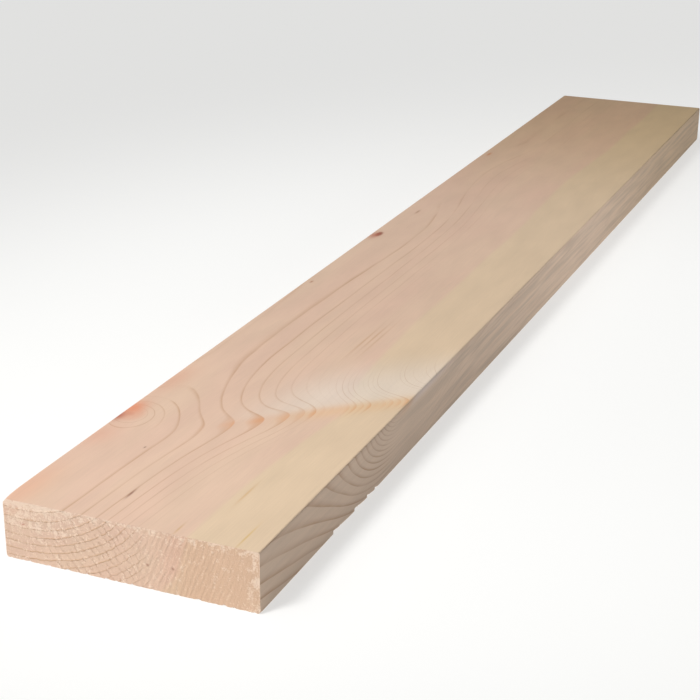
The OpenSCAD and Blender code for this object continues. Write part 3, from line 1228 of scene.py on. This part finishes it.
    def _splinters(self, tree: bpy.types.NodeTree, given) -> bpy.types.Node:
        """Adds thin slivers of fibre that hang on the near end's lower edge.

        Args:
            tree: The plank's tree.
            given: The group's inputs.

        Returns:
            The node that gives the slivers as instances.
        """
        half = add(tree, MATH, (given["Width"], 0.5, -4 * MM), operation="MULTIPLY_ADD")
        back = add(tree, MATH, (half, -1.0), operation="MULTIPLY")
        near_y = add(tree, MATH, (given["Length"], -0.5, 0.5 * MM), operation="MULTIPLY_ADD")
        start = add(tree, "ShaderNodeCombineXYZ", (back, near_y, 0.7 * MM))
        end = add(tree, "ShaderNodeCombineXYZ", (half, near_y, 0.7 * MM))
        row = add(
            tree,
            "GeometryNodeMeshLine",
            {"Count": given["Splinters"], "Start Location": start, "Offset": end},
            mode="END_POINTS",
        )
        stray = (2 * MM, 0.3 * MM, 0.4 * MM)
        jitter = add(
            tree,
            "FunctionNodeRandomValue",
            {0: [-s for s in stray], 1: stray, "Seed": given["Seed"]},
            data_type="FLOAT_VECTOR",
        )
        spread = add(tree, "GeometryNodeSetPosition", {"Geometry": row, "Offset": jitter})
        sliver = add(
            tree,
            "GeometryNodeMeshCone",
            {
                "Vertices": 5,
                "Side Segments": 1,
                "Radius Top": self.splinter_tip,
                "Radius Bottom": self.splinter_root,
                "Depth": self.splinter_length,
            },
        )
        turn = add(
            tree,
            "FunctionNodeRandomValue",
            {0: (1.2, -1.2, -0.6), 1: (2.4, 1.2, 0.6), "Seed": given["Seed"]},
            data_type="FLOAT_VECTOR",
        )
        size = add(
            tree,
            "FunctionNodeRandomValue",
            {2: 0.5, 3: 1.2, "Seed": given["Seed"]},
            data_type="FLOAT",
        )
        return add(
            tree,
            "GeometryNodeInstanceOnPoints",
            {"Points": spread, "Instance": sliver.outputs["Mesh"], "Rotation": turn, "Scale": size},
        )

    def _kept_in(self, tree: bpy.types.NodeTree, given, whole) -> bpy.types.Node:
        """Adds the last trim, which keeps every sliver inside the sawn block.

        Args:
            tree: The plank's tree.
            given: The group's inputs.
            whole: The plank with its slivers.

        Returns:
            The node that gives the trimmed geometry.
        """
        place = add(tree, "GeometryNodeInputPosition").outputs[0]
        half_x = add(tree, MATH, (given["Width"], 0.5), operation="MULTIPLY")
        half_y = add(tree, MATH, (given["Length"], 0.5), operation="MULTIPLY")
        back_x = add(tree, MATH, (half_x, -1.0), operation="MULTIPLY")
        back_y = add(tree, MATH, (half_y, -1.0), operation="MULTIPLY")
        low = add(tree, "ShaderNodeCombineXYZ", (back_x, back_y, 0.0))
        high = add(tree, "ShaderNodeCombineXYZ", (half_x, half_y, given["Thickness"]))
        above = add(tree, VECTOR_MATH, (place, low), operation="MAXIMUM")
        inside = add(tree, VECTOR_MATH, (above, high), operation="MINIMUM")
        return add(tree, "GeometryNodeSetPosition", {"Geometry": whole, "Position": inside})

    def _is_sawn(self, tree: bpy.types.NodeTree, given) -> bpy.types.Node:
        """Adds the test for a face of the sawn ends: close to an end and facing along the grain.

        Args:
            tree: The plank's tree.
            given: The group's inputs.

        Returns:
            The node that gives true on those faces.
        """
        place = add(tree, "GeometryNodeInputPosition").outputs[0]
        facing = add(tree, "GeometryNodeInputNormal").outputs[0]
        y = add(tree, "ShaderNodeSeparateXYZ", (place,)).outputs["Y"]
        ny = add(tree, "ShaderNodeSeparateXYZ", (facing,)).outputs["Y"]
        off = add(tree, MATH, (y,), operation="ABSOLUTE")
        line = add(tree, MATH, (given["Length"], 0.5, -1.2 * MM), operation="MULTIPLY_ADD")
        close = add(tree, MATH, (off, line), operation="GREATER_THAN")
        size = add(tree, MATH, (ny,), operation="ABSOLUTE")
        square = add(tree, MATH, (size, 0.6), operation="GREATER_THAN")
        both = add(tree, MATH, (close, square), operation="MULTIPLY")
        return add(tree, "FunctionNodeCompare", {0: both, 1: 0.5}, operation="GREATER_THAN")

    def build(self, planed: bpy.types.Material, sawn: bpy.types.Material) -> bpy.types.Object:
        """Builds the plank and hands it to the frame.

        Args:
            planed: The finish of the four long faces.
            sawn: The finish of the ends.

        Returns:
            The finished piece.
        """
        block = bpy.data.objects.new("block", self._lattice())
        bpy.context.scene.collection.objects.link(block)
        inputs = self._inputs(planed, sawn)
        tree = self._tree(inputs)
        modifier = block.modifiers.new("worked plank", "NODES")
        modifier.node_group = tree
        for item in tree.interface.items_tree:
            if item.in_out == "INPUT" and item.name in inputs:
                modifier[item.identifier] = inputs[item.name][1]
        graph = bpy.context.evaluated_depsgraph_get()
        mesh = bpy.data.meshes.new_from_object(
            block.evaluated_get(graph), preserve_all_data_layers=True, depsgraph=graph
        )
        mesh.name = "pine_plank"
        bpy.data.objects.remove(block)
        self.piece = bpy.data.objects.new("pine_plank", mesh)
        bpy.context.scene.collection.objects.link(self.piece)
        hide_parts("plank")
        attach(self.piece, self.body)
        return self.piece


@dataclass(frozen=True)
class Spot:
    """A round soft lamp, in metres, watts and degrees: where it hangs and what it faces."""

    name: str
    power: float
    size: float
    cone: float
    blend: float
    stand: tuple[float, float, float]
    target: tuple[float, float, float]


@dataclass(frozen=True)
class Studio:
    """The pale floor, the soft lights and the camera, in metres and degrees."""

    floor_size: float = 60.0
    lens: float = 82.1
    sensor: float = 36.0
    stand: tuple[float, float, float] = (0.4991, -1.51, 0.5376)
    aim: tuple[float, float, float] = (68.64, -0.36, 22.9)
    sky: str = "#FFFFFF"
    sky_strength: float = 0.12
    sun_strength: float = 0.95
    sun_spread: float = 60.0
    sun_stand: tuple[float, float, float] = (-0.5, -0.4, 1.0)
    spots: tuple[Spot, ...] = (
        Spot("key", 190.0, 0.3, 40.0, 0.7, (-0.6, -1.75, 1.9), (0.08, -0.25, 0.0)),
        Spot("fill", 24.0, 0.25, 27.0, 1.0, (1.5, -0.1, 0.5), (0.1, 0.1, 0.0)),
    )
    floor_drop: float = 0.2 * MM

    def lay_floor(self) -> bpy.types.Object:
        """Lays the paper just under the plank.

        Returns:
            The floor.
        """
        half = self.floor_size / 2
        mesh = bpy.data.meshes.new("floor")
        corners = ((-half, -half), (half, -half), (half, half), (-half, half))
        mesh.from_pydata([(x, y, -self.floor_drop) for x, y in corners], [], [(0, 1, 2, 3)])
        floor = bpy.data.objects.new("floor", mesh)
        bpy.context.scene.collection.objects.link(floor)
        mesh.materials.append(StudioPaper().build())
        return floor

    def light(self) -> None:
        """Hangs a soft key lamp over the near left, a fill low on the right, and a soft high light."""
        world = bpy.data.worlds.new("studio")
        bpy.context.scene.world = world
        world.use_nodes = True
        world.node_tree.nodes.clear()
        sky = add(
            world.node_tree, "ShaderNodeBackground", (linear(self.sky), self.sky_strength)
        )
        add(world.node_tree, "ShaderNodeOutputWorld", (sky,))
        for spot in self.spots:
            lamp = bpy.data.lights.new(spot.name, "SPOT")
            lamp.energy = spot.power
            lamp.shadow_soft_size = spot.size
            lamp.spot_size = math.radians(spot.cone)
            lamp.spot_blend = spot.blend
            self._hang(lamp, spot.stand, spot.target)
        high = bpy.data.lights.new("high", "SUN")
        high.energy = self.sun_strength
        high.angle = math.radians(self.sun_spread)
        self._hang(high, self.sun_stand, (0.0, 0.0, 0.0))

    def _hang(self, lamp: bpy.types.Light, stand: tuple, target: tuple) -> None:
        """Hangs one light and turns it to what it faces.

        Args:
            lamp: The light.
            stand: Where it hangs.
            target: What it faces.
        """
        holder = bpy.data.objects.new(lamp.name, lamp)
        holder.location = stand
        facing = Vector(target) - Vector(stand)
        holder.rotation_euler = facing.to_track_quat("-Z", "Y").to_euler()
        bpy.context.scene.collection.objects.link(holder)

    def place_camera(self) -> bpy.types.Object:
        """Stands the camera off the near right corner, looking down along the plank.

        Returns:
            The camera.
        """
        data = bpy.data.cameras.new("camera")
        data.lens = self.lens
        data.sensor_width = self.sensor
        camera = bpy.data.objects.new("camera", data)
        camera.location = self.stand
        camera.rotation_euler = [math.radians(a) for a in self.aim]
        bpy.context.scene.collection.objects.link(camera)
        bpy.context.scene.camera = camera
        bpy.context.scene.view_settings.view_transform = "Standard"
        return camera


def main() -> None:
    """Builds the studio and the plank."""
    logging.basicConfig(level=logging.INFO, format="%(name)s: %(message)s")
    studio = Studio()
    studio.place_camera()
    studio.lay_floor()
    studio.light()
    low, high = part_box("plank")
    width, length, thickness = high - low
    wood = PineWood(StemGrowth()).build()
    planed = PlankFinish(Cut.PLANED, wood, width, length, roughness=0.62).build()
    sawn = PlankFinish(Cut.SAWN, wood, width, length, roughness=0.85).build()
    plank = Plank(width, length, thickness)
    piece = plank.build(planed, sawn)
    log.info("%s: %d faces", piece.name, len(piece.data.polygons))


if __name__ == "__main__":
    main()
